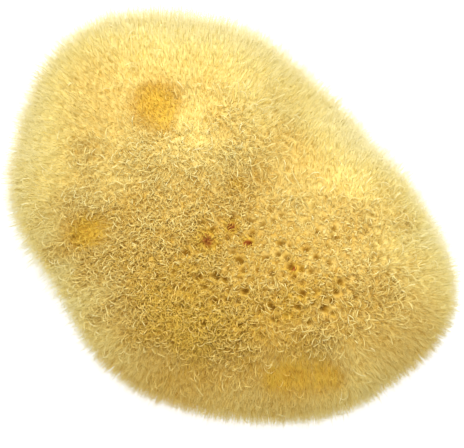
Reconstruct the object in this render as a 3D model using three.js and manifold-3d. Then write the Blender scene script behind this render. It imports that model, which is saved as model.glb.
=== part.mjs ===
// A silk sea sponge, dried and bleached, lying on the flat cut where it was taken off its rock.
// It grew as one piece, so it is one closed solid: rounded lobes that run into each other, with soft
// hollows and the oscula, the large mouths of its canals. The solid is the envelope that the tips of
// the surface fibres reach.
//
// Millimetres, +Z up, +X along the sponge, the origin in the middle of the bounding box on the cut face.

import * as THREE from "three";
import { mergeVertices } from "three/addons/utils/BufferGeometryUtils.js";
import Module from "manifold-3d";

// --- Driving dimensions -------------------------------------------------------------------------

const LENGTH = 116; // along X, between the fibre tips
const SURFACE_DETAIL = 17; // subdivisions of each face of the icosahedron that is moulded into the body
const LOBE_BLEND = 3.2; // how tightly the surface follows the lobes: lower runs them together more

// The point inside the body that every part of the surface can be seen from.
const HEART = new THREE.Vector3(5.4, 4.5, 19.4);

// Each lobe is an ellipsoid: its middle and its half sizes along X, Y and Z. The cut is at Z = 0.
const LOBES = [
  { name: "crown", centre: [-17.8, 11.5, 23], half: [28.2, 31.3, 24.8] },
  { name: "crown corner", centre: [-36.4, 7.7, 22], half: [21.4, 24.4, 19.3] },
  { name: "crown flank", centre: [-25.9, -8.7, 20.3], half: [25.2, 24.5, 19.3] },
  { name: "bridge", centre: [2.2, 21.9, 20.3], half: [22.5, 20.2, 22] },
  { name: "belly", centre: [2.7, -13.7, 21.1], half: [30.5, 29.2, 24.8] },
  { name: "heel", centre: [29.4, 0.2, 23.8], half: [25.8, 27.1, 28.5] },
  { name: "sole", centre: [14.7, -13.3, 19.3], half: [26.6, 21.9, 22] },
  { name: "shoulder", centre: [22, 22.5, 24.8], half: [20.3, 15.1, 20.3] },
  { name: "toe", centre: [39.6, 13.3, 21.1], half: [17.6, 18, 20.3] },
];

// Each hollow is a soft dent: a point near its middle, how far it spreads and how deep it is.
const HOLLOWS = [
  { name: "saddle", near: [-0.4, 33, 37], width: 11, depth: 3.5 },
  { name: "valley", near: [1.6, 13.1, 44.2], width: 10, depth: 0.6 },
  { name: "navel", near: [5.6, -1.6, 45.7], width: 13, depth: 1 },
  { name: "furrow", near: [6.7, -20, 45.9], width: 9, depth: 1.6 },
  { name: "shoulder dent", near: [25.8, 18.3, 47.2], width: 8, depth: 1.6 },
  { name: "sole dent", near: [20.9, -28.6, 39.8], width: 7, depth: 1.8 },
  { name: "pit, one end", near: [38.1, -17.8, 43.2], width: 4, depth: 1.6 },
  { name: "pit, other end", near: [42.7, -11.9, 44.8], width: 4, depth: 1.6 },
  { name: "ledge, which is raised", near: [-18.9, 4.5, 47.5], width: 9, depth: -1.2 },
];

// Each osculum is a round canal: a point near its mouth, the mouth's radius, and how far in it goes.
// The three in the pit run into each other.
const OSCULA = [
  { name: "main", near: [-26.7, 10, 46.8], mouth: 3.7, depth: 9 },
  { name: "side", near: [-20.7, -22, 39.5], mouth: 2.9, depth: 6.5 },
  { name: "pit, near", near: [37.7, -17.1, 43.5], mouth: 2.2, depth: 4.5 },
  { name: "pit, middle", near: [40.3, -15, 44.2], mouth: 2.3, depth: 5 },
  { name: "pit, far", near: [42.9, -12.8, 44.8], mouth: 2.2, depth: 4.5 },
];
const FUNNEL_WIDTH = 1.9; // the dent round a mouth, against the mouth's radius
const FUNNEL_DEPTH = 0.8;
const CANAL_SIDES = 20;
const CANAL_RINGS = 10;
// A canal's outline: the share of its depth above the surface, and its radius against the mouth's.
const CANAL_OUTLINE = [
  { height: -1, radius: 0 },
  { height: -0.92, radius: 0.45 },
  { height: -0.6, radius: 0.62 },
  { height: -0.25, radius: 0.8 },
  { height: 0.15, radius: 1.15 },
];

const CUT_MARGIN = 20; // how far the block that makes the cut face reaches past the body
const SEARCH_STEPS = 30; // halvings of the length, to find where the lobes end
const WELD = 1e-4; // corners closer together than this are one corner

// --- The body -----------------------------------------------------------------------------------

// Above 1 inside the body, below 1 outside: each lobe adds a soft ball of its own shape.
function fullness(point) {
  let sum = 0;
  for (const { centre, half } of LOBES) {
    const offset = point.clone().sub(new THREE.Vector3(...centre));
    offset.divide(new THREE.Vector3(...half));
    sum += Math.exp(LOBE_BLEND * (1 - offset.lengthSq()));
  }
  return sum;
}

// The point where the lobes end, going from the heart in a direction.
function surfaceTowards(direction) {
  let inside = 0;
  let outside = LENGTH;
  for (let step = 0; step < SEARCH_STEPS; step++) {
    const middle = (inside + outside) / 2;
    if (fullness(HEART.clone().addScaledVector(direction, middle)) > 1) inside = middle;
    else outside = middle;
  }
  return HEART.clone().addScaledVector(direction, inside);
}

// The point of the surface that is seen from the heart past a point near it.
function surfaceNear(near) {
  return surfaceTowards(new THREE.Vector3(...near).sub(HEART).normalize());
}

// How deep the hollows press the surface in at a point.
function pressedIn(point, hollows) {
  let depth = 0;
  for (const hollow of hollows) {
    const away = point.distanceTo(hollow.middle) / hollow.width;
    depth += hollow.depth * Math.exp(-away * away);
  }
  return depth;
}

function bodyGeometry() {
  const funnels = OSCULA.map(({ near, mouth }) => {
    return { near, width: FUNNEL_WIDTH * mouth, depth: FUNNEL_DEPTH * mouth };
  });
  const hollows = [...HOLLOWS, ...funnels].map((hollow) => {
    return { ...hollow, middle: surfaceNear(hollow.near) };
  });
  const geometry = new THREE.IcosahedronGeometry(1, SURFACE_DETAIL);
  const position = geometry.getAttribute("position");
  const direction = new THREE.Vector3();
  for (let i = 0; i < position.count; i++) {
    direction.fromBufferAttribute(position, i).normalize();
    const point = surfaceTowards(direction);
    point.addScaledVector(direction, -pressedIn(point, hollows));
    position.setXYZ(i, point.x, point.y, point.z);
  }
  return geometry;
}

// --- What is cut away ---------------------------------------------------------------------------

// The space of one canal, turned about Y with its mouth at the origin and its blind end below.
function canalGeometry({ mouth, depth }) {
  const outline = CANAL_OUTLINE.map(({ height, radius }) => {
    return new THREE.Vector2(radius * mouth, height * depth);
  });
  const profile = new THREE.SplineCurve(outline).getPoints(CANAL_RINGS);
  profile.push(new THREE.Vector2(0, profile[CANAL_RINGS].y));
  return new THREE.LatheGeometry(profile, CANAL_SIDES);
}

// The canal, set into the surface and pointing at the heart.
function osculumSpace(osculum) {
  const middle = surfaceNear(osculum.near);
  const outwards = middle.clone().sub(HEART).normalize();
  const turn = new THREE.Quaternion().setFromUnitVectors(new THREE.Vector3(0, 1, 0), outwards);
  return canalGeometry(osculum).applyQuaternion(turn).translate(middle.x, middle.y, middle.z);
}

// The rock side of the cut, a block with its top at Z = 0.
function belowTheCut() {
  const side = LENGTH + 2 * CUT_MARGIN;
  return new THREE.BoxGeometry(side, side, CUT_MARGIN).translate(0, 0, -CUT_MARGIN / 2);
}

// --- Solids -------------------------------------------------------------------------------------

const wasm = await Module();
wasm.setup();

function solidFrom(geometry) {
  const bare = new THREE.BufferGeometry();
  bare.setAttribute("position", geometry.getAttribute("position"));
  bare.setIndex(geometry.getIndex());
  const merged = mergeVertices(bare, WELD);
  return new wasm.Manifold(
    new wasm.Mesh({
      numProp: 3,
      vertProperties: merged.getAttribute("position").array,
      triVerts: new Uint32Array(merged.getIndex().array),
    }),
  );
}

function geometryFrom(solid) {
  const mesh = solid.getMesh();
  const geometry = new THREE.BufferGeometry();
  geometry.setAttribute("position", new THREE.BufferAttribute(mesh.vertProperties, mesh.numProp));
  geometry.setIndex(new THREE.BufferAttribute(mesh.triVerts, 1));
  return geometry;
}

// Puts the origin in the middle of the bounding box, on the cut face, at the stated length.
function settle(geometry) {
  geometry.computeBoundingBox();
  const { min, max } = geometry.boundingBox;
  const scale = LENGTH / (max.x - min.x);
  geometry.translate(-(min.x + max.x) / 2, -(min.y + max.y) / 2, -min.z);
  geometry.scale(scale, scale, scale);
  geometry.computeVertexNormals();
  return geometry;
}

function spongeGeometry() {
  let solid = solidFrom(bodyGeometry());
  for (const osculum of OSCULA) solid = solid.subtract(solidFrom(osculumSpace(osculum)));
  return settle(geometryFrom(solid.subtract(solidFrom(belowTheCut()))));
}

// --- The sponge ---------------------------------------------------------------------------------

const spongin = new THREE.MeshStandardMaterial({ color: "#e6c468", roughness: 0.95, metalness: 0 });

const sponge = new THREE.Mesh(spongeGeometry(), spongin);
sponge.name = "sponge";

const seaSponge = new THREE.Group();
seaSponge.add(sponge);

export default seaSponge;
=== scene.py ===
import math
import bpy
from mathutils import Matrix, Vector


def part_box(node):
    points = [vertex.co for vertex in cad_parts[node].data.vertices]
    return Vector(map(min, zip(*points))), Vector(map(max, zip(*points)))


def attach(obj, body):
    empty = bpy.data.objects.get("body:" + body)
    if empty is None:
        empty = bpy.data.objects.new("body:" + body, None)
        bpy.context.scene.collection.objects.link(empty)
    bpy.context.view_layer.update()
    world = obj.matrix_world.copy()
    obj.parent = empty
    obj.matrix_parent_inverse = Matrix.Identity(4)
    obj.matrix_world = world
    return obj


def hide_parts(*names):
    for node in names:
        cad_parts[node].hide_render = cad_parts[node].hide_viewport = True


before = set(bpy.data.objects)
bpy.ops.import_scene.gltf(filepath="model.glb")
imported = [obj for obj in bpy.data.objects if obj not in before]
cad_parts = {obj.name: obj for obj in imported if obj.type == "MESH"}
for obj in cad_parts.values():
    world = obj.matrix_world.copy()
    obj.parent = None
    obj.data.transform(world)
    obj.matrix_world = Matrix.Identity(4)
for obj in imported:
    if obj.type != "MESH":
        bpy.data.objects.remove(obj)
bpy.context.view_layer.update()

from types import SimpleNamespace

import bmesh
import bpy
import numpy as np
from bpy.props import (
    FloatProperty,
    FloatVectorProperty,
    IntProperty,
    PointerProperty,
)
from mathutils import Vector
from mathutils.kdtree import KDTree

bl_info = {
    "name": "Silk sea sponge",
    "version": (1, 0, 0),
    "blender": (4, 5, 0),
    "location": "3D View > Sidebar > Sponge",
    "description": "A bleached silk sea sponge with its pores, its downy pile and its curled fibre ends",
    "category": "Object",
}

MM = 0.001  # the row frame is in metres
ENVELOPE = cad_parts["sponge"]  # the solid whose surface the fibre tips reach
CAD_LOW, CAD_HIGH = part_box("sponge")

BODY = "sponge_body"
DOWN_PIECES = ("down_upper_layer", "down_lower_layer")
CURL_PIECES = ("curls_fine", "curls_coarse")
COLOUR_MAP = "OFBake"  # the UV map that the colours are read from

# The canals that open at the surface: the middle of the mouth, the way out, the radius, the depth, and
# how far in a web of fibres closes the canal off.
OSCULA = (
    {"mouth": (-26.7, 10.0, 46.8), "out": (-0.76, 0.13, 0.64), "radius": 3.7, "depth": 9, "web": 2.9},
    {"mouth": (-20.7, -22.0, 39.5), "out": (-0.63, -0.64, 0.48), "radius": 2.9, "depth": 6.5, "web": 3.0},
    {"mouth": (37.7, -17.1, 43.5), "out": (0.70, -0.46, 0.54), "radius": 2.2, "depth": 4.5, "web": 3.1},
    {"mouth": (40.3, -15.0, 44.2), "out": (0.74, -0.41, 0.53), "radius": 2.3, "depth": 5, "web": 3.1},
    {"mouth": (42.9, -12.8, 44.8), "out": (0.77, -0.36, 0.53), "radius": 2.2, "depth": 4.5, "web": 3.1},
)

# Where the sponge kept its amber colour: a place near the surface, how far it spreads, how strong it is.
AMBER = (
    ((-27.0, 10.4, 44.0), 5.4, 0.60),
    ((-29.8, 11.3, 44.0), 3.6, 0.44),
    ((-22.9, 8.4, 44.0), 3.2, 0.46),
    ((-20.9, -21.8, 37.0), 3.4, 0.68),
    ((-25.0, -23.5, 36.0), 3.0, 0.25),
    ((-33.2, -21.6, 33.0), 9.0, 0.07),
    ((-27.1, -28.8, 30.0), 10.0, 0.09),
    ((33.8, -19.8, 40.6), 2.6, 0.46),
    ((36.2, -18.2, 41.0), 3.0, 0.50),
    ((38.9, -16.2, 41.3), 3.0, 0.50),
    ((41.4, -14.0, 41.5), 3.0, 0.50),
    ((43.8, -11.6, 41.5), 2.6, 0.48),
    ((1.6, 13.1, 41.8), 5.0, 0.14),
    ((-2.0, 32.6, 38.0), 5.0, 0.10),
    ((20.9, -28.6, 38.0), 10.0, 0.11),
    ((18.3, -39.0, 25.0), 8.0, 0.14),
    ((40.0, 0.5, 40.0), 9.0, 0.06),
    ((-15.4, 15.6, 45.0), 7.0, 0.07),
    ((-3.3, 1.2, 43.0), 7.0, 0.05),
    ((13.5, -4.2, 46.0), 8.0, 0.08),
    ((15.3, -21.0, 44.0), 8.0, 0.08),
    ((4.1, 7.0, 45.0), 6.0, 0.08),
    ((27.9, -21.5, 40.0), 7.0, 0.09),
    ((-17.9, -10.6, 43.0), 6.0, 0.05),
    ((5.5, -19.5, 44.0), 12.0, 0.05),
    ((29.0, -15.0, 44.0), 11.0, 0.08),
    ((46.0, 4.0, 30.0), 12.0, 0.06),
    ((-39.5, 7.9, 42.0), 12.0, 0.14),
    ((-23.0, 21.1, 43.0), 9.0, 0.07),
    ((9.4, 22.6, 44.0), 11.0, 0.09),
)

# Where grit left a rusty stain, in the same terms.
RUST = (
    ((2.7, -6.3, 44.7), 2.4, 0.94),
    ((4.5, -0.6, 43.4), 1.5, 1.20),
    ((9.9, -1.2, 45.0), 1.3, 1.60),
    ((21.8, 0.4, 50.9), 1.2, 1.25),
    ((27.8, -8.6, 50.9), 1.3, 0.70),
    ((-1.0, 7.7, 42.7), 1.8, 0.50),
    ((36.6, -15.8, 40.5), 2.4, 0.26),
    ((41.6, -11.7, 41.0), 2.4, 0.26),
)

# Where it is paler than round about, in the same terms: partly paler fibre, and low on the sides painted
# light that lifts edges lying in shade.
PALER = (
    ((49.0, -6.0, 25.0), 12.0, 0.12),
    ((46.0, -15.0, 22.0), 10.0, 0.10),
    ((-16.6, 8.0, 46.0), 8.0, 0.11),
    ((-8.3, 21.8, 42.0), 7.0, 0.10),
    ((-2.6, 13.8, 42.0), 6.0, 0.08),
    ((-25.2, -16.7, 40.0), 6.0, 0.09),
    ((-7.0, -10.0, 43.0), 8.0, 0.05),
    ((30.0, -32.0, 22.0), 12.0, 0.05),
    ((38.0, 33.0, 25.0), 14.0, 0.07),
    ((14.0, 35.0, 25.0), 10.0, 0.13),
    ((-11.0, -33.5, 28.0), 10.0, 0.08),
    ((-28.0, 34.0, 25.0), 10.0, 0.07),
    ((-50.0, 18.0, 20.0), 9.0, 0.06),
)

# Where the down is thinner: the middle, how far it spreads and the share of the fibres that is missing.
THINNER = (
    ((-9.9, 1.7, 44.0), 10.0, 0.34),
    ((-20.7, -7.3, 42.0), 9.0, 0.30),
    ((0.9, 10.8, 44.0), 8.0, 0.30),
)

# Where the down is thicker: the middle, how far it spreads and the share of fibres that is added.
THICKER = (
    ((7.8, -26.6, 40.0), 9.0, 0.45),
    ((14.9, -20.6, 44.0), 8.0, 0.25),
    ((4.0, -6.0, 45.0), 6.0, 0.35),
    ((10.0, -0.5, 45.0), 5.0, 0.25),
)

# Where the body fills the hollows under the pile: the middle, how far it spreads and how far it rises.
FULLER = (
    ((-3.6, 14.7, 43.0), 9.0, 1.2),
    ((-17.0, 5.0, 46.0), 8.0, 1.1),
    ((0.0, 8.0, 44.0), 8.0, 0.8),
)

# Where the fibres hang over the upper edge of the pit, and where those in it are streaked.
PIT_EDGE = (((37.0, -13.0, 42.0), 6.0, 1.3),)
PIT = (((39.0, -16.0, 41.0), 9.0, 1.0),)

# Oval patches of the upper side: the middle, the half sizes along and across, how ragged the edge is and
# the seed that it is drawn from.
CRISP_PATCH = ((3, -2), (42, 28), 0.16, 61)
CRISP_BELLY_PATCH = ((12, -17), (22, 13), 0.16, 63)
SOFT_SHOULDER_PATCH = ((11.4, 25.6), (21, 13), 0.1, 65)
WORN_PATCH = ((20, 6.5), (22, 14.5), 0.12, 62)
OPEN_PATCH = ((18, -4), (33, 17), 0.16, 64)
PATCH_TURN = math.radians(40)  # how far round from X the patches lie

SOLEWARDS = np.array((0.644, -0.765, 0.0))  # the way that the sponge gets darker: partly less bleached, partly painted shade on the side turned away from the key light, which hangs the other way
SIDEWAYS = np.array((0.766, 0.643, 0.0))  # square to that, and level too
TO_SOLE = 45 * MM  # from the middle of the sponge to the edge of the sole

FIRST_GRAIN = 0.9 * MM  # between the points of the body before it is drawn in
MOUTH_ROUNDS = 48  # how often the body is smoothed round its mouths before it gets its grain
RIM_ROUNDS = 18  # and how often after
TUFT_SPACING = 1.6 * MM
ROOT_DEPTH = 0.15 * MM  # how far under the body's surface a fibre starts
FLOOR_GAP = 0.02 * MM  # how far above the floor the lowest fibre points lie
TONE_SPREAD = 0.004  # how far across the map the sides of a fibre lie
FLOOR_HALF = 3  # half the side of the floor


# --- Settings -----------------------------------------------------------------------------------


class SpongeShape(bpy.types.PropertyGroup):
    pile: FloatProperty(
        name="Pile",
        description="How far the fibre tips stand off the body",
        default=2.9 * MM,
        subtype="DISTANCE",
    )
    depth: FloatProperty(
        name="Depth",
        description="How far the body lies under the part's own surface",
        default=2.2 * MM,
        subtype="DISTANCE",
    )
    canal_pile: FloatProperty(
        name="Canal pile",
        description="How far the fibre tips stand off the walls of a canal",
        default=2.5 * MM,
        subtype="DISTANCE",
    )
    pore_spacing: FloatProperty(
        name="Pore spacing",
        description="The least distance between the middles of two pores",
        default=2.3 * MM,
        subtype="DISTANCE",
    )
    pore_radius: FloatProperty(
        name="Pore radius",
        description="How far a pore's dent spreads",
        default=0.9 * MM,
        subtype="DISTANCE",
    )
    pore_depth: FloatProperty(
        name="Pore depth",
        description="How deep a pore's dent is",
        default=2.1 * MM,
        subtype="DISTANCE",
    )
    grain: FloatProperty(
        name="Grain",
        description="The distance between the body's mesh points",
        default=0.56 * MM,
        subtype="DISTANCE",
    )
    down_count: IntProperty(
        name="Down fibres",
        description="How many straight fibres each layer of down has",
        default=49000,
    )
    fine_curl_count: IntProperty(
        name="Fine curls",
        description="How many thin curled fibre ends there are",
        default=12200,
    )
    coarse_curl_count: IntProperty(
        name="Coarse curls",
        description="How many thick, strongly curled fibre ends there are",
        default=7100,
    )
    long_share: FloatProperty(
        name="Long fibres",
        description="How many of the fibres of the down are long, where it is softest",
        default=0.46,
        min=0,
        max=1,
        subtype="FACTOR",
    )
    down_width: FloatProperty(
        name="Down width",
        description="How thick a short fibre of the down is",
        default=0.088 * MM,
        subtype="DISTANCE",
    )
    long_width: FloatProperty(
        name="Long fibre width",
        description="How thick a long fibre of the down is",
        default=0.08 * MM,
        subtype="DISTANCE",
    )
    fine_curl_width: FloatProperty(
        name="Fine curl width",
        description="How thick a fine curl is",
        default=0.08 * MM,
        subtype="DISTANCE",
    )
    coarse_curl_width: FloatProperty(
        name="Coarse curl width",
        description="How thick the thinnest coarse curl is",
        default=0.15 * MM,
        subtype="DISTANCE",
    )


class SpongeColours(bpy.types.PropertyGroup):
    bleach: FloatProperty(
        name="Bleach",
        description="How bleached the sponge is at its middle, from 0 for rust to 1 for white",
        default=0.65,
        min=0,
        max=1,
        subtype="FACTOR",
    )
    tip_white: FloatVectorProperty(
        name="White tip",
        description="The tips of the long, fine fibres that are bleached right through",
        default=(0.99, 0.92, 0.56),
        subtype="COLOR",
    )
    tip_pale: FloatVectorProperty(
        name="Pale tip",
        description="The fibre tips where the sponge is bleached most",
        default=(0.98, 0.87, 0.40),
        subtype="COLOR",
    )
    tip_gold: FloatVectorProperty(
        name="Golden tip",
        description="The fibre tips where the sponge is half bleached",
        default=(0.94, 0.68, 0.165),
        subtype="COLOR",
    )
    tip_amber: FloatVectorProperty(
        name="Amber tip",
        description="The fibre tips where the sponge is not bleached",
        default=(0.90, 0.65, 0.095),
        subtype="COLOR",
    )
    root_white: FloatVectorProperty(
        name="White root",
        description="The roots of the long, fine fibres that are bleached right through",
        default=(0.93, 0.80, 0.36),
        subtype="COLOR",
    )
    root_pale: FloatVectorProperty(
        name="Pale root",
        description="The fibre roots where the sponge is bleached most",
        default=(0.96, 0.80, 0.28),
        subtype="COLOR",
    )
    # Painted shade: the half-bleached roots are darker than the amber and the pale ones, as shade deep in
    # the pile.
    root_gold_shaded: FloatVectorProperty(
        name="Golden root",
        description="The fibre roots where the sponge is half bleached",
        default=(0.62, 0.395, 0.07),
        subtype="COLOR",
    )
    root_amber: FloatVectorProperty(
        name="Amber root",
        description="The fibre roots where the sponge is not bleached",
        default=(0.79, 0.52, 0.065),
        subtype="COLOR",
    )
    # Painted shade: the lowest part of each fibre and the pore floors are multiplied by this colour.
    painted_web_shade: FloatVectorProperty(
        name="Web shade",
        description="What the colours are multiplied by down in the web that the fibres stand on",
        default=(0.48, 0.40, 0.22),
        subtype="COLOR",
    )
    rust: FloatVectorProperty(
        name="Rust",
        description="The stains where grit was caught in the sponge",
        default=(0.46, 0.14, 0.03),
        subtype="COLOR",
    )


class SpongeStage(bpy.types.PropertyGroup):
    azimuth: FloatProperty(
        name="Azimuth",
        description="The side that the camera looks from, turned about the vertical",
        default=math.radians(40),
        subtype="ANGLE",
    )
    elevation: FloatProperty(
        name="Elevation",
        description="How far above the horizon the camera stands",
        default=math.radians(80),
        subtype="ANGLE",
    )
    distance: FloatProperty(
        name="Distance",
        description="From the camera to the middle of the sponge",
        default=0.48,
        subtype="DISTANCE",
    )
    lens: FloatProperty(
        name="Lens",
        description="The camera's focal length, in millimetres",
        default=158.7,
    )
    aim_right: FloatProperty(
        name="Aim right",
        description="How far to the right of the middle the camera aims",
        default=3.4 * MM,
        subtype="DISTANCE",
    )
    aim_up: FloatProperty(
        name="Aim up",
        description="How far above the middle the camera aims",
        default=0.25 * MM,
        subtype="DISTANCE",
    )
    key_height: FloatProperty(
        name="Key height",
        description="How far above the horizon the soft light hangs",
        default=math.radians(75),
        subtype="ANGLE",
    )
    key_distance: FloatProperty(
        name="Key distance",
        description="From the soft light to the middle of the sponge",
        default=0.9,
        subtype="DISTANCE",
    )
    key_size: FloatProperty(
        name="Key size",
        description="The side of the square soft light",
        default=0.25,
        subtype="DISTANCE",
    )
    key_power: FloatProperty(
        name="Key power",
        description="The power of the soft light, in watts",
        default=6.4,
    )
    room_light: FloatProperty(
        name="Room light",
        description="The strength of the even light from all round",
        default=0.74,
    )


# --- Numbers over a surface ---------------------------------------------------------------------


def smoothstep(low, high, x):
    """0 below low, 1 above high, and a soft rise between them."""
    t = np.clip((x - low) / (high - low), 0, 1)
    return t * t * (3 - 2 * t)


def lengths(v):
    """How long each row's vector is."""
    return np.linalg.norm(v, axis=-1)


def unit(v):
    """The same ways, each one long."""
    return v / np.maximum(lengths(v)[..., None], 1e-12)


def waves(points, length, seed, count=7):
    """A smooth random field, about -1 to 1, that rises and falls over this length."""
    rng = np.random.default_rng(seed)
    total = np.zeros(len(points))
    for way in unit(rng.normal(size=(count, 3))):
        stretch = rng.uniform(0.7, 1.4)
        total += np.sin(points @ way * (2 * math.pi / (length * stretch)) + rng.uniform(0, 2 * math.pi))
    return total / math.sqrt(count)


def read(data, key, width, kind=np.float32):
    """A mesh collection's values as an array of rows."""
    values = np.empty(len(data) * width, kind)
    data.foreach_get(key, values)
    return values.reshape(-1, width) if width > 1 else values


def positions(mesh):
    """Where the mesh's points are."""
    return read(mesh.vertices, "co", 3).astype(float)


def place(mesh, points):
    """Moves the mesh's points there."""
    mesh.vertices.foreach_set("co", points.astype(np.float32).ravel())
    mesh.update()


def normals(mesh):
    """The way out of the surface at each of the mesh's points."""
    return read(mesh.vertex_normals, "vector", 3).astype(float)


def averaged(mesh, values, rounds):
    """Each point's value mixed with its neighbours' over and over."""
    ends = read(mesh.edges, "vertices", 2, np.int32)
    a, b = np.concatenate([ends[:, 0], ends[:, 1]]), np.concatenate([ends[:, 1], ends[:, 0]])
    count = np.maximum(np.bincount(a, minlength=len(values)), 1)[:, None]
    values = values.reshape(len(values), -1)
    for _ in range(rounds):
        near = [np.bincount(a, column[b], minlength=len(values)) for column in values.T]
        values = (values + np.stack(near, 1) / count) / 2
    return values


def tree_of(points):
    """A tree that the nearest of these points is found in."""
    tree = KDTree(len(points))
    for i, point in enumerate(points):
        tree.insert(point, i)
    tree.balance()
    return tree


def nearest(tree, points):
    """The index of the tree's point nearest to each point, and how far off it is."""
    found = [tree.find(point) for point in points]
    return np.array([f[1] for f in found]), np.array([f[2] for f in found])


def from_mouth(points, osculum):
    """The way from a canal's mouth to each point, how much of it leads out, and the rest, to the side."""
    away = points - np.array(osculum["mouth"]) * MM
    along = away @ np.array(osculum["out"])
    return away, along, away - along[:, None] * np.array(osculum["out"])


def in_canal(points):
    """1 on the wall of a canal, 0 away from all of them."""
    most = np.zeros(len(points))
    for osculum in OSCULA:
        _, along, aside = from_mouth(points, osculum)
        beside = 1 - smoothstep(0.6, 1.7, lengths(aside) / (osculum["radius"] * MM))
        below = 1 - smoothstep(-0.15, 0.25, along / (osculum["depth"] * MM))
        most = np.maximum(most, beside * below)
    return most


def near_mouth(points):
    """1 round the rim of a canal's mouth, 0 away from all of them."""
    most = np.zeros(len(points))
    for osculum in OSCULA:
        away, _, _ = from_mouth(points, osculum)
        most = np.maximum(most, 1 - smoothstep(5 * MM, 10 * MM, lengths(away)))
    return most


def webbed(points):
    """The same body with its canals closed off a little way in, by the web that crosses them."""
    points = points.copy()
    for osculum in OSCULA:
        _, along, aside = from_mouth(points, osculum)
        web = -osculum["web"] * MM
        deep = (along < web) & (along > -2 * osculum["depth"] * MM)
        within = 1 - smoothstep(0.85, 1.25, lengths(aside) / (osculum["radius"] * MM))
        push = np.where(deep, web - along, 0) * 0.85 * within
        points += np.array(osculum["out"]) * push[:, None]
    return points


def mouthwards(points, canal):
    """In a canal the way out of it, and round its mouth the way to the middle of it."""
    way = np.zeros_like(points)
    for osculum in OSCULA:
        away, _, aside = from_mouth(points, osculum)
        radius = osculum["radius"] * MM
        pull = 0.2 * (1 - smoothstep(0.8, 2.0, lengths(away) / radius))
        way -= unit(aside) * (pull * (1 - canal))[:, None]
        deep = 1 - smoothstep(0.8, 2.5, lengths(aside) / radius)
        way += np.array(osculum["out"]) * (deep * canal)[:, None]
    return way


def patch(points, middle, half, ragged, seed):
    """1 in the middle of an oval patch of the upper side and 0 well outside it."""
    along = np.array((math.cos(PATCH_TURN), math.sin(PATCH_TURN)))
    aside = np.array((-math.sin(PATCH_TURN), math.cos(PATCH_TURN)))
    away = points[:, :2] - np.array(middle) * MM
    far = np.hypot(away @ along / (half[0] * MM), away @ aside / (half[1] * MM))
    far = far + ragged * waves(points, 11 * MM, seed)
    return (1 - smoothstep(0.4, 1.25, far)) * smoothstep(16 * MM, 34 * MM, points[:, 2])


def crisp_at(points):
    """1 where the fibre ends are coarse and curled, 0 where they are fine down."""
    curled = np.maximum(patch(points, *CRISP_PATCH), patch(points, *CRISP_BELLY_PATCH))
    return curled * (1 - 0.85 * patch(points, *SOFT_SHOULDER_PATCH))


def worn_at(points):
    """1 where the pile is so short that the pores lie open, 0 elsewhere."""
    return patch(points, *WORN_PATCH)


def open_at(points):
    """1 where the down is thin and the gaps between the curls are deep, 0 elsewhere."""
    return patch(points, *OPEN_PATCH)


def spots(points, places):
    """How strongly each point is marked by the strongest of some soft spots, which run down slopes."""
    most = np.zeros(len(points))
    for middle, spread, strength in places:
        away = (points - np.array(middle) * MM) * (1, 1, 0.3)
        far = lengths(away) / (spread * MM)
        most = np.maximum(most, strength * np.exp(-(far**2)))
    return most


def towards_sole(points):
    """-1 at the crown's edge of the sponge and 1 at the edge of the sole."""
    return points @ SOLEWARDS / TO_SOLE


def fullness(points, worn_off):
    """How high the pile is against its usual height. worn_off is the share that is gone where it is worn."""
    return 1.35 - 0.47 * crisp_at(points) - worn_off * worn_at(points)


def reach_at(points, canal):
    """How far the fibre tips stand off the body."""
    shape = bpy.context.scene.sponge_shape
    return shape.pile * fullness(points, 0.42) * (1 - canal) + shape.canal_pile * canal


def spaced(points, least, seed):
    """Picks points in a random order, leaving out any that is too near to one already picked."""
    rng = np.random.default_rng(seed)
    cells = {}
    kept = []
    at = np.floor(points / least).astype(int)
    for i in rng.permutation(len(points)):
        x, y, z = at[i]
        point = points[i]
        near = (
            cells.get((x + dx, y + dy, z + dz), ())
            for dx in (-1, 0, 1)
            for dy in (-1, 0, 1)
            for dz in (-1, 0, 1)
        )
        if all(((point - q) ** 2).sum() >= least * least for group in near for q in group):
            cells.setdefault((x, y, z), []).append(point)
            kept.append(i)
    return np.array(kept)


# --- Colour -------------------------------------------------------------------------------------


AMBER_STOP = 0.2
STOPS = (0.04, AMBER_STOP, 0.45, 0.8, 1.0)  # how bleached: rust, amber, gold, pale, white
PAINTED_SHADE_TOP = 0.16  # how far up a fibre the painted shade of the web reaches


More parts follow.
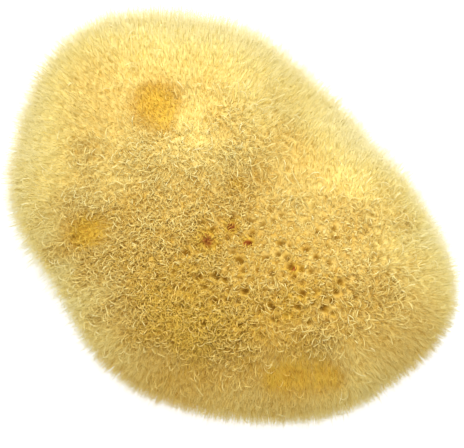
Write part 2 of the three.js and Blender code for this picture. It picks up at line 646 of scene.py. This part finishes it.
def spongin_group():
    """The colour of spongin fibre from how bleached it is and how far along the fibre a point lies, with
    painted shade on the lowest part.
    """
    found = bpy.data.node_groups.get("spongin_colour")
    if found:
        return found
    tones = bpy.context.scene.sponge_colours
    group = bpy.data.node_groups.new("spongin_colour", "ShaderNodeTree")
    for name in ("Bleach", "Along"):
        group.interface.new_socket(name, in_out="INPUT", socket_type="NodeSocketFloat")
    group.interface.new_socket("Color", in_out="OUTPUT", socket_type="NodeSocketColor")
    nodes, links = group.nodes, group.links
    given = nodes.new("NodeGroupInput")
    result = nodes.new("NodeGroupOutput")

    def ramp(value, places, colours):
        node = nodes.new("ShaderNodeValToRGB")
        elements = node.color_ramp.elements
        while len(elements) < len(places):
            elements.new(0.5)
        for element, at, colour in zip(elements, places, colours):
            element.position = at
            element.color = (*colour, 1)
        links.new(given.outputs[value], node.inputs["Fac"])
        return node.outputs["Color"]

    def mix(blend, a, b):
        node = nodes.new("ShaderNodeMix")
        node.data_type = "RGBA"
        node.blend_type = blend
        node.inputs["Factor"].default_value = 1
        links.new(a, node.inputs["A"])
        links.new(b, node.inputs["B"])
        return node

    roots = (tones.rust, tones.root_amber, tones.root_gold_shaded, tones.root_pale, tones.root_white)
    tips = (tones.rust, tones.tip_amber, tones.tip_gold, tones.tip_pale, tones.tip_white)
    ripening = mix("MIX", ramp("Bleach", STOPS, roots), ramp("Bleach", STOPS, tips))
    links.new(given.outputs["Along"], ripening.inputs["Factor"])
    # Painted shade: the lowest part of a fibre, and the floor of a pore, are darkened as if shaded by the
    # web.
    painted_shade = ramp("Along", (0, PAINTED_SHADE_TOP), (tones.painted_web_shade, (1, 1, 1)))
    shaded = mix("MULTIPLY", ripening.outputs["Result"], painted_shade)
    links.new(shaded.outputs["Result"], result.inputs["Color"])
    return group


def spongin_material(name, roughness):
    """Spongin, coloured by its UV map: how bleached it is across, with painted light and shade in it, and
    how far along the fibre up, with painted shade at the bottom.
    """
    material = bpy.data.materials.new(name)
    material.use_nodes = True
    nodes, links = material.node_tree.nodes, material.node_tree.links
    shader = nodes["Principled BSDF"]
    shader.inputs["Roughness"].default_value = roughness
    shader.inputs["Specular IOR Level"].default_value = 0.1
    place_on = nodes.new("ShaderNodeUVMap")
    place_on.uv_map = COLOUR_MAP
    parts = nodes.new("ShaderNodeSeparateXYZ")
    colour = nodes.new("ShaderNodeGroup")
    colour.node_tree = spongin_group()
    links.new(place_on.outputs["UV"], parts.inputs["Vector"])
    links.new(parts.outputs["X"], colour.inputs["Bleach"])
    links.new(parts.outputs["Y"], colour.inputs["Along"])
    links.new(colour.outputs["Color"], shader.inputs["Base Color"])
    return material


def bleach_and_painted_light_at(points):
    """How bleached the sponge is, with painted light and shade in it: least towards the sole, partly as its
    own tone and partly as painted shade on the side turned away from the key light; paler on the sides and
    ends as painted rim light; with a slow drift.
    """
    sole = towards_sole(points)
    away_from_key = smoothstep(0.0, 0.8, sole)
    crisp = crisp_at(points)
    # Less bleached towards the sole: partly the sponge's own tone, partly painted shade on the side turned
    # away from the key light.
    unbleached_and_shaded = 0.205 * smoothstep(-0.75, 0.3, sole) * (0.4 + 0.6 * crisp) + 0.10 * away_from_key
    # The velvet of the down is paler, and painted rim light makes it paler still low on the sides.
    velvet_and_rim_light = 0.03 + 0.22 * (1 - smoothstep(26 * MM, 47 * MM, points[:, 2]))
    velvet_and_rim_light *= (1 - crisp) * (1 - 0.65 * away_from_key)
    aside = points @ SIDEWAYS
    # Painted rim light: the two ends are paler as well.
    ends = smoothstep(15 * MM, 45 * MM, aside) * (1 - away_from_key)
    ends += smoothstep(18 * MM, 42 * MM, -aside) * smoothstep(-0.1, 0.3, sole)
    paler = velvet_and_rim_light + 0.08 * ends * (1 - 0.6 * crisp) + 0.10 * worn_at(points)
    drift = 0.035 * waves(points, 26 * MM, 3) + 0.02 * waves(points, 9 * MM, 4)
    return bpy.context.scene.sponge_colours.bleach - unbleached_and_shaded + paler + drift


def start_above_painted_shade(points, crisp, canal):
    """How far up the map a fibre starts: above the painted shade of the web in the down and in the canals,
    and among the curls only towards the crown, so that the painted shade lies on the side turned away from
    the key light.
    """
    crownwards = 1 - smoothstep(-0.45, 0.25, towards_sole(points))
    clear = PAINTED_SHADE_TOP * np.maximum(np.maximum(1 - crisp, canal), 1.7 * crownwards * crisp)
    return clear + 0.26 * (1 - crisp) * (1 - canal)


def stained(points, canal, bleach):
    """The same, less in the amber places, more in the paler ones and least in the rusty ones."""
    across = np.outer(points @ SIDEWAYS, (1, 0, 0))
    streaks = 1 + 0.22 * waves(across, 2.2 * MM, 71) * spots(points, PIT)
    amber = np.maximum(spots(points, AMBER), 0.12 * canal) * streaks - spots(points, PALER)
    bleach = np.maximum(bleach - amber, np.minimum(bleach, AMBER_STOP)).clip(0, 0.98)
    return bleach * np.maximum(1 - spots(points, RUST), 0)


def lay_map(mesh, bleach, along):
    """Gives each mesh point its place on the map that the colours are read from."""
    layer = mesh.uv_layers.new(name=COLOUR_MAP)
    corner = read(mesh.loops, "vertex_index", 1, np.int32)
    uv = np.stack([bleach[corner], along[corner]], 1).clip(0.002, 0.998)
    layer.uv.foreach_set("vector", uv.astype(np.float32).ravel())


# --- Pieces -------------------------------------------------------------------------------------


def even_mesh(mesh, spacing, name):
    """The same closed shape, made of evenly spaced points, in place of the mesh that is given."""
    obj = bpy.data.objects.new(name, mesh)
    bpy.context.collection.objects.link(obj)
    remesh = obj.modifiers.new("Even", "REMESH")
    remesh.mode = "VOXEL"
    remesh.voxel_size = spacing
    seen = obj.evaluated_get(bpy.context.evaluated_depsgraph_get())
    result = bpy.data.meshes.new_from_object(seen)
    bpy.data.objects.remove(obj)
    bpy.data.meshes.remove(mesh)
    return result


def seat(obj, material):
    """Puts a finished piece on the part's frame."""
    obj.data.materials.clear()
    obj.data.materials.append(material)
    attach(obj, "root")


def new_object(name, mesh):
    """Puts the mesh in the scene under this name."""
    mesh.name = name
    obj = bpy.data.objects.new(name, mesh)
    bpy.context.collection.objects.link(obj)
    return obj


class SPONGE_OT_body(bpy.types.Operator):
    """Shrinks the part's envelope by the depth of the pile and presses the pores in"""

    bl_idname = "sponge.body"
    bl_label = "Body"

    def execute(self, context):
        shape = context.scene.sponge_shape
        mesh = even_mesh(self.drawn_in(shape), shape.grain, "fine")
        self.soften(mesh)

        points = positions(mesh)
        out = unit(averaged(mesh, normals(mesh), 6))
        canal = in_canal(points)
        pores = points[spaced(points, shape.pore_spacing, 11)]
        dent = self.dents(shape, pores, points)
        worn = worn_at(points)
        bare = np.maximum(open_at(points), worn)
        sink = dent * shape.pore_depth * (0.3 + 0.6 * bare + 0.35 * worn) * (1 - 0.6 * canal)
        off_cut = smoothstep(0.2 * MM, 1.2 * MM, points[:, 2])
        swell = MM * (0.12 * waves(points, 5 * MM, 21) + 0.07 * waves(points, 1.6 * MM, 23)) * off_cut
        place(mesh, points + out * (swell - sink)[:, None])
        mesh.polygons.foreach_set("use_smooth", np.ones(len(mesh.polygons), bool))

        # Painted shade: the pore floors, and in the bare patches some crumbly specks, lie low on the map, in
        # the painted shade of the web; the canal walls sit a little lower, towards the darker root colours.
        pore_shade = smoothstep(0.12, 0.6, dent) * (0.4 + 0.6 * bare)
        shade_crumbs = 1 + 0.3 * bare * waves(points, 1.5 * MM, 24)
        height = (0.25 - 0.03 * bare) * shade_crumbs * (1 - pore_shade) * (1 - 0.2 * canal)
        mottled = bleach_and_painted_light_at(points) + 0.08 * waves(points, 1.5 * MM, 22)
        lay_map(mesh, stained(points, canal, mottled), height)

        store(mesh, "root_normal", out)
        store(mesh, "canal", canal)
        store(mesh, "pore", dent)
        context.scene["pores"] = pores.ravel().tolist()
        body = new_object(BODY, mesh)
        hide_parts("sponge")
        seat(body, spongin_material("spongin_body", 0.9))
        return {"FINISHED"}

    def drawn_in(self, shape):
        """The envelope drawn in by the depth of the pile, with its canals webbed."""
        bm = bmesh.new()
        bm.from_mesh(ENVELOPE.data)
        bmesh.ops.remove_doubles(bm, verts=bm.verts, dist=0.001 * MM)
        envelope = bpy.data.meshes.new("envelope")
        bm.to_mesh(envelope)
        bm.free()

        mesh = even_mesh(envelope, FIRST_GRAIN, "coarse")
        points = positions(mesh)
        out = unit(averaged(mesh, normals(mesh), 3))
        well_in = smoothstep(0.6, 1, in_canal(points))
        depth = shape.depth * fullness(points, 0.3) * (1 - 0.6 * well_in)
        inward = -out * averaged(mesh, depth - MM * spots(points, FULLER), 4)
        # At the cut face the body is only drawn in sideways, so it still stands on the floor.
        inward[:, 2] *= smoothstep(0.3 * MM, 6 * MM, points[:, 2])
        points = webbed(points + inward)
        mouth = near_mouth(points)[:, None]
        place(mesh, points * (1 - mouth) + averaged(mesh, points, MOUTH_ROUNDS) * mouth)
        return mesh

    def soften(self, mesh):
        """Smooths away the steps of the grain, most of all round the mouths, and keeps the cut flat."""
        stepped = positions(mesh)
        smooth = averaged(mesh, stepped, 4)
        rim = near_mouth(smooth)[:, None]
        smooth = smooth * (1 - rim) + averaged(mesh, smooth, RIM_ROUNDS) * rim
        flat = 1 - smoothstep(0.1 * MM, 0.8 * MM, stepped[:, 2])
        smooth[:, 2] = smooth[:, 2] * (1 - flat) + stepped[:, 2] * flat
        place(mesh, smooth)

    def dents(self, shape, pores, points):
        """How deep in a pore each point lies. Some pores are wide and deep, and many are hardly open."""
        index, off = nearest(tree_of(pores), points)
        openness = np.random.default_rng(12).beta(1.8, 1.4, len(pores))[index]
        spread = shape.pore_radius * (0.75 + 0.4 * openness)
        return (0.2 + 0.8 * openness) * np.exp(-((off / spread) ** 2))


def store(mesh, name, values):
    """Keeps numbers on the mesh's points, for the fibres to read."""
    kind, key = ("FLOAT_VECTOR", "vector") if values.ndim > 1 else ("FLOAT", "value")
    mesh.attributes.new(name, kind, "POINT").data.foreach_set(key, values.astype(np.float32).ravel())


def stored(mesh, name, width):
    """The numbers that were kept on the mesh's points."""
    key = "vector" if width > 1 else "value"
    return read(mesh.attributes[name].data, key, width).astype(float)


def scatter(body, count, seed, wanted):
    """Random spots on the body. wanted says how many fibres a place gets, from its row of values."""
    mesh = body.data
    rng = np.random.default_rng(seed)
    mesh.calc_loop_triangles()
    corners = read(mesh.loop_triangles, "vertices", 3, np.int32)
    points = positions(mesh)
    a, b, c = points[corners].transpose(1, 0, 2)
    area = np.linalg.norm(np.cross(b - a, c - a), axis=1) / 2
    shares = np.stack([stored(mesh, "canal", 1), stored(mesh, "pore", 1)], 1)
    columns = np.concatenate([points, stored(mesh, "root_normal", 3), shares], 1)
    total = np.cumsum(area * wanted(*places_of(columns[corners].mean(1))))
    picks = np.searchsorted(total, (np.arange(count) + rng.uniform(0, 1, count)) / count * total[-1])
    share = rng.uniform(0, 1, (count, 2))
    over = share.sum(1) > 1
    share[over] = 1 - share[over]
    share = np.concatenate([1 - share.sum(1, keepdims=True), share], 1)
    corners = corners[picks.clip(0, len(corners) - 1)]
    return places_of((columns[corners] * share[:, :, None]).sum(1))


def places_of(columns):
    """Takes the scattered values apart: where, the root normal, the canal share and the pore share."""
    return columns[:, :3], unit(columns[:, 3:6]), columns[:, 6], columns[:, 7]


def fibre_template(rings):
    """A three-sided tapering fibre of unit height, closed at the root, as corner places and faces."""
    bm = bmesh.new()
    ring = bmesh.ops.create_circle(bm, segments=3, radius=1, cap_ends=True)["verts"]
    for face in bm.faces:
        face.normal_flip()
    for level in range(1, rings + 1):
        edges = [e for e in bm.edges if all(v in ring for v in e.verts)]
        grown = bmesh.ops.extrude_edge_only(bm, edges=edges)["geom"]
        ring = [g for g in grown if isinstance(g, bmesh.types.BMVert)]
        for v in ring:
            v.co.z = level / rings
    bmesh.ops.pointmerge(bm, verts=ring, merge_co=(0, 0, 1))
    bmesh.ops.recalc_face_normals(bm, faces=bm.faces)
    bmesh.ops.triangulate(bm, faces=bm.faces)
    bm.verts.index_update()
    places = np.array([v.co[:] for v in bm.verts])
    faces = np.array([[v.index for v in f.verts] for f in bm.faces])
    bm.free()
    return places, faces


def joined(name, faces, points, bleach, along):
    """One mesh of many fibres. points holds the corner places of each, fibre by fibre."""
    count, size = points.shape[:2]
    corner = (faces[None] + np.arange(count)[:, None, None] * size).reshape(-1, 3)
    mesh = bpy.data.meshes.new(name)
    mesh.vertices.add(count * size)
    mesh.loops.add(len(corner) * 3)
    mesh.polygons.add(len(corner))
    mesh.vertices.foreach_set("co", points.astype(np.float32).ravel())
    mesh.loops.foreach_set("vertex_index", corner.astype(np.int32).ravel())
    mesh.polygons.foreach_set("loop_start", np.arange(len(corner), dtype=np.int32) * 3)
    mesh.polygons.foreach_set("loop_total", np.full(len(corner), 3, np.int32))
    mesh.update(calc_edges=True)
    mesh.validate()
    lay_map(mesh, bleach.ravel(), along.ravel())
    return new_object(name, mesh)


def fibres(name, rings, roots, out, style, tone, seed):
    """Grows a fibre from each root. style has each fibre's bend, length, turn, twist and width."""
    rng = np.random.default_rng(seed)
    template, faces = fibre_template(rings)
    count = len(roots)
    bend, turn, twist = style["bend"], style["turn"], style["twist"]
    aside = unit(bend - (bend * out).sum(1, keepdims=True) * out)
    across = np.cross(out, aside)
    # The middle line, a straight step from each ring to the next.
    steps, line = [], [roots]
    for step in range(rings):
        at = (step + 0.5) / rings
        lean, swing = (turn * at**1.6)[:, None], (twist * at)[:, None]
        sideways = aside * np.cos(swing) + across * np.sin(swing)
        steps.append(out * np.cos(lean) + sideways * np.sin(lean))
        line.append(line[-1] + steps[-1] * (style["length"] / rings)[:, None])
    ahead = [steps[0], *(unit(a + b) for a, b in zip(steps, steps[1:])), steps[-1]]
    # Two directions square to the line, carried along it so that the fibre doesn't kink.
    first, seconds, firsts = across, [], []
    for forward in ahead:
        first = unit(first - (first * forward).sum(1, keepdims=True) * forward)
        firsts.append(first)
        seconds.append(np.cross(forward, first))
    level = np.rint(template[:, 2] * rings).astype(int)
    line, firsts, seconds = (np.stack(rows, 1)[:, level] for rows in (line, firsts, seconds))
    spin = rng.uniform(0, 2 * math.pi, (count, 1))
    angle = np.arctan2(template[:, 1], template[:, 0])[None] + spin
    far = np.hypot(template[:, 0], template[:, 1])[None] * (style["width"][:, None] / 2)
    far = far * (1 - style["taper"] * template[:, 2])[None]
    points = line + firsts * (np.cos(angle) * far)[:, :, None] + seconds * (np.sin(angle) * far)[:, :, None]
    points[:, :, 2] = np.maximum(points[:, :, 2], FLOOR_GAP)
    # Each fibre lies a little across its place on the map, so that no face is without width there.
    tone = tone[:, None] + TONE_SPREAD * np.cos(angle) * (far > 0)
    start = style["start"][:, None]
    along = start + (1 - start) * template[:, 2][None] * style["ripeness"][:, None]
    return joined(name, faces, points, tone, along)


def roots_on(body, count, seed, wanted):
    """Random roots on the body, with all that the fibres which stand there go by."""
    at, out, canal, pore = scatter(body, count, seed, wanted)
    pores = np.array(bpy.context.scene["pores"]).reshape(-1, 3)
    pore_index, _ = nearest(tree_of(pores), at)
    tufts = positions(body.data)
    tufts = tufts[spaced(tufts, TUFT_SPACING, 17)]
    tuft_index, _ = nearest(tree_of(tufts), at)
    return SimpleNamespace(
        count=len(at),
        at=at,
        out=out,
        canal=canal,
        pore=pore,
        crisp=crisp_at(at),
        from_pore=unit(at - pores[pore_index]),
        to_tuft=(tufts[tuft_index] - at) / MM,
        drift=np.stack([waves(at, 11 * MM, field) for field in (51, 52, 53)], 1),
    )


def lean_of(roots, clumped, drifting, astray):
    """How fibres lean: to the nearest tuft, with a slow drift, and each its own way. They also lean off the
    pores where the pile is worn, out of the canals, and towards the sole over the edge of the pit."""
    by_pore = 1.5 * roots.pore * worn_at(roots.at)
    lean = clumped * roots.to_tuft + by_pore[:, None] * roots.from_pore + drifting * roots.drift + astray
    return lean + mouthwards(roots.at, roots.canal) + spots(roots.at, PIT_EDGE)[:, None] * SOLEWARDS


def leaving(roots, lean):
    """The ways that leaning fibres leave the body, none of which points into the floor."""
    leave = roots.out + lean
    low = roots.at[:, 2] < 3 * MM
    leave[:, 2] = np.where(low, np.maximum(leave[:, 2], 0.02), leave[:, 2])
    return unit(leave)


def grow(name, rings, roots, leave, style, bleach, seed, material):
    """Makes one piece of the fibres that stand on these roots."""
    style = {**style, "start": start_above_painted_shade(roots.at, roots.crisp, roots.canal)}
    tone = stained(roots.at, roots.canal, bleach)
    seat(fibres(name, rings, roots.at - roots.out * ROOT_DEPTH, leave, style, tone, seed), material)


def down_wanted(points, out, canal, pore):
    """How thickly the down stands: not on the cut, hardly in an open pore, and less underneath."""
    off_cut = smoothstep(0.4 * MM, 1.6 * MM, points[:, 2])
    bare = np.maximum(open_at(points), worn_at(points))
    open_pore = smoothstep(0.08, 0.3, pore) * (0.25 + 0.75 * bare)
    under = 0.75 + 0.25 * smoothstep(-0.6, 0.4, out[:, 2])
    thinner = 0.2 * open_at(points) + spots(points, THINNER) - spots(points, THICKER)
    thick = (1 - thinner) * (1 + 0.35 * worn_at(points))
    return off_cut * under * (1 - 0.95 * open_pore) * thick


def fine_curls_wanted(points, out, canal, pore):
    """How thickly the fine curls stand: most of all in the crisp patches."""
    by_patch = (0.5 + 2.4 * crisp_at(points)) * (1 - 0.5 * canal)
    return down_wanted(points, out, canal, pore) * by_patch


def coarse_curls_wanted(points, out, canal, pore):
    """How thickly the coarse curls stand: in the crisp and the open patches, and hardly elsewhere."""
    by_patch = (0.03 + crisp_at(points) + open_at(points)) * (1 - 0.8 * canal)
    return down_wanted(points, out, canal, pore) * by_patch * (1 - 0.35 * worn_at(points))


class SPONGE_OT_down(bpy.types.Operator):
    """Grows the down, the short straight fibre ends that cover the whole body"""

    bl_idname = "sponge.down"
    bl_label = "Down"

    def execute(self, context):
        shape = context.scene.sponge_shape
        body = bpy.data.objects[BODY]
        material = spongin_material("spongin_down", 0.9)
        for layer, name in enumerate(DOWN_PIECES):
            roots = roots_on(body, shape.down_count, 200 + layer, down_wanted)
            self.grow_layer(shape, name, roots, layer, material)
        return {"FINISHED"}

    def grow_layer(self, shape, name, roots, layer, material):
        """One of the layers of the down, nearly straight fibres with one ring each."""
        rng = np.random.default_rng(100 + layer)
        count, crisp, canal = roots.count, roots.crisp, roots.canal
        sole = towards_sole(roots.at)
        low = smoothstep(0.1, 0.65, sole)
        # Among the curls and low down the fibres clump together, and elsewhere they stand apart.
        clumped = 0.1 + 0.45 * crisp + 0.45 * low * (1 - crisp)
        astray = (0.45 - 0.07 * crisp)[:, None] * rng.normal(size=(count, 3))
        lean = lean_of(roots, clumped[:, None], 0.14, astray)
        leave = leaving(roots, (0.27 + 0.17 * crisp)[:, None] * lean)
        # Most fibres are short, and a few long ones stand out of the down.
        share = 0.41 + 0.1 * low + (0.70 - 0.15 * crisp) * rng.beta(1.4, 1.9, count)
        long = rng.uniform(size=count) < shape.long_share * (1 - 0.85 * crisp) * (1 - canal)
        beyond = np.minimum(rng.exponential(0.35, count) * (1 - 0.55 * low), 1.3)
        share = np.where(long, 1.08 - 0.25 * low + beyond, share)
        bleach = bleach_and_painted_light_at(roots.at) - 0.04 * crisp + 0.13 * long
        bleach += rng.normal(0, 1, count) * (0.03 + 0.03 * crisp + 0.12 * canal)
        bend = lean + 0.5 * rng.normal(size=(count, 3))
        width = np.where(long, shape.long_width, shape.down_width + 0.05 * MM * crisp)
        # Painted shade: among the curls the fibres keep more of their darker root colours, most of all
        # towards the sole, on the side turned away from the key light.
        unripe_and_shaded = 0.4 * crisp * (0.4 + 0.6 * smoothstep(-0.45, 0.4, sole))
        style = {
            "bend": bend,
            "length": reach_at(roots.at, canal) * share / np.maximum((leave * roots.out).sum(1), 0.6),
            "turn": np.full(count, 0.1),
            "twist": np.zeros(count),
            "width": width * rng.uniform(0.8, 1.2, count),
            "taper": 0.2,
            # Painted shade: in the canals the fibres keep their darker root colours.
            "ripeness": (1 - 0.5 * canal) * (0.86 + 0.14 * crisp) * (1 - unripe_and_shaded),
        }
        grow(name, 1, roots, leave, style, bleach, 300 + layer, material)


class SPONGE_OT_curls(bpy.types.Operator):
    """Grows the curls, the longer fibre ends that bend over above the down"""

    bl_idname = "sponge.curls"
    bl_label = "Curls"

    def execute(self, context):
        shape = context.scene.sponge_shape
        body = bpy.data.objects[BODY]
        material = spongin_material("spongin_curls", 0.85)
        self.grow_fine(shape, body, material)
        self.grow_coarse(shape, body, material)
        return {"FINISHED"}

    def grow_fine(self, shape, body, material):
        """Thin fibre ends, which curl most in the crisp patches."""
        rng = np.random.default_rng(400)
        roots = roots_on(body, shape.fine_curl_count, 500, fine_curls_wanted)
        count, crisp, canal = roots.count, roots.crisp, roots.canal
        lean = lean_of(roots, (0.2 + 0.3 * crisp)[:, None], 0.25, 0.35 * rng.normal(size=(count, 3)))
        turn = 0.2 + crisp * rng.uniform(0.6, 2.4, count) + 0.4 * rng.uniform(0, 1, count)
        bend = rng.normal(size=(count, 3)) + 0.4 * roots.drift
        height = reach_at(roots.at, canal) * rng.uniform(0.6, 1.12, count)
        style = {
            "bend": bend,
            "length": self.stretched(height, turn),
            "turn": turn,
            "twist": rng.normal(0, 1.2, count),
            "width": (shape.fine_curl_width + 0.07 * MM * crisp) * rng.uniform(0.8, 1.2, count),
            "taper": 0.3,
            # Painted shade: in the canals the fibres keep their darker root colours.
            "ripeness": 1 - 0.5 * canal,
        }
        bleach = bleach_and_painted_light_at(roots.at) + rng.normal(0.04, 0.07, count)
        grow(CURL_PIECES[0], 3, roots, leaving(roots, 0.4 * lean), style, bleach, 600, material)

    def grow_coarse(self, shape, body, material):
        """Thick fibre ends that curl right over."""
        rng = np.random.default_rng(401)
        roots = roots_on(body, shape.coarse_curl_count, 501, coarse_curls_wanted)
        count, canal = roots.count, roots.canal
        lean = lean_of(roots, 0.3, 0.25, 0.35 * rng.normal(size=(count, 3)))
        turn = rng.uniform(1.5, 3.4, count)
        # A few are bold: thicker, longer and paler than the rest.
        bold = rng.uniform(size=count) ** 2
        bend = rng.normal(size=(count, 3)) + 0.4 * roots.drift
        style = {
            "bend": bend,
            "length": self.stretched(reach_at(roots.at, canal) * (0.82 + 0.2 * bold), turn),
            "turn": turn,
            "twist": rng.normal(0, 1.6, count),
            "width": (shape.coarse_curl_width + 0.13 * MM * bold) * rng.uniform(0.85, 1.15, count),
            "taper": 0.3,
            # Painted shade: in the canals the fibres keep their darker root colours.
            "ripeness": 1 - 0.5 * canal,
        }
        bleach = bleach_and_painted_light_at(roots.at) + 0.08 + 0.2 * bold**2 + rng.normal(0, 0.06, count)
        grow(CURL_PIECES[1], 5, roots, leaving(roots, 0.4 * lean), style, bleach, 601, material)

    def stretched(self, height, turn):
        """How long fibres that turn over this far have to be to stand this high."""
        return height * (1 + 0.09 * turn)


# --- Stage --------------------------------------------------------------------------------------


class SPONGE_OT_stage(bpy.types.Operator):
    """Sets out the floor, the soft lights and the camera"""

    bl_idname = "sponge.stage"
    bl_label = "Stage"

    def execute(self, context):
        stage = context.scene.sponge_stage
        middle = (CAD_LOW + CAD_HIGH) / 2
        self.lay_floor()
        self.light_room(context, stage)
        self.hang_key(context, stage, middle)
        self.set_camera(context, stage, middle)
        context.scene.view_settings.view_transform = "Standard"
        return {"FINISHED"}

    def lay_floor(self):
        """White paper that glows a little, so that it stays pale under the soft light."""
        bm = bmesh.new()
        bmesh.ops.create_grid(bm, x_segments=1, y_segments=1, size=FLOOR_HALF)
        mesh = bpy.data.meshes.new("floor")
        bm.to_mesh(mesh)
        bm.free()
        floor = new_object("floor", mesh)
        paper = bpy.data.materials.new("floor_paper")
        paper.use_nodes = True
        inputs = paper.node_tree.nodes["Principled BSDF"].inputs
        inputs["Base Color"].default_value = (0.5, 0.5, 0.5, 1)
        inputs["Roughness"].default_value = 1
        inputs["Specular IOR Level"].default_value = 0
        inputs["Emission Color"].default_value = (1, 1, 1, 1)
        inputs["Emission Strength"].default_value = 0.8
        mesh.materials.append(paper)

    def light_room(self, context, stage):
        """An even white light from all round."""
        world = bpy.data.worlds.new("studio")
        context.scene.world = world
        world.use_nodes = True
        inputs = world.node_tree.nodes["Background"].inputs
        inputs["Color"].default_value = (1, 1, 1, 1)
        inputs["Strength"].default_value = stage.room_light

    def hang_key(self, context, stage, middle):
        """A square soft light that hangs over the crown's side of the sponge and faces it."""
        lamp = bpy.data.lights.new("key", "AREA")
        lamp.shape = "SQUARE"
        lamp.size = stage.key_size
        lamp.energy = stage.key_power
        key = bpy.data.objects.new("key", lamp)
        context.collection.objects.link(key)
        x, y, _ = -SOLEWARDS * math.cos(stage.key_height)
        way = Vector((x, y, math.sin(stage.key_height)))
        key.location = middle + way * stage.key_distance
        key.rotation_mode = "QUATERNION"
        key.rotation_quaternion = (-way).to_track_quat("-Z", "Y")

    def set_camera(self, context, stage, middle):
        """A camera that looks nearly straight down, from a little to one side."""
        camera_data = bpy.data.cameras.new("camera")
        camera_data.lens = stage.lens
        camera = bpy.data.objects.new("camera", camera_data)
        context.collection.objects.link(camera)
        a, e = stage.azimuth, stage.elevation
        back = Vector((math.sin(a) * math.cos(e), -math.cos(a) * math.cos(e), math.sin(e)))
        right = Vector((math.cos(a), math.sin(a), 0))
        aim = middle + right * stage.aim_right + back.cross(right) * stage.aim_up
        camera.location = aim + back * stage.distance
        camera.rotation_mode = "QUATERNION"
        camera.rotation_quaternion = (-back).to_track_quat("-Z", "Y")
        context.scene.camera = camera


# --- Add-on -------------------------------------------------------------------------------------


class SPONGE_PT_panel(bpy.types.Panel):
    """Lists the sponge's settings, its pieces and its stage"""

    bl_label = "Sea sponge"
    bl_idname = "SPONGE_PT_panel"
    bl_space_type = "VIEW_3D"
    bl_region_type = "UI"
    bl_category = "Sponge"

    def draw(self, context):
        for name, settings in SETTINGS.items():
            for setting in settings.__annotations__:
                self.layout.prop(getattr(context.scene, name), setting)
        for operator in OPERATORS:
            self.layout.operator(operator.bl_idname)


SETTINGS = {"sponge_shape": SpongeShape, "sponge_colours": SpongeColours, "sponge_stage": SpongeStage}
OPERATORS = (SPONGE_OT_body, SPONGE_OT_down, SPONGE_OT_curls, SPONGE_OT_stage)


def register():
    for cls in (*SETTINGS.values(), *OPERATORS, SPONGE_PT_panel):
        bpy.utils.register_class(cls)
    for name, cls in SETTINGS.items():
        setattr(bpy.types.Scene, name, PointerProperty(type=cls))


def unregister():
    for name in SETTINGS:
        delattr(bpy.types.Scene, name)
    for cls in reversed((*SETTINGS.values(), *OPERATORS, SPONGE_PT_panel)):
        bpy.utils.unregister_class(cls)


def main():
    register()
    bpy.ops.sponge.body()
    bpy.ops.sponge.down()
    bpy.ops.sponge.curls()
    bpy.ops.sponge.stage()


if __name__ == "__main__":
    main()
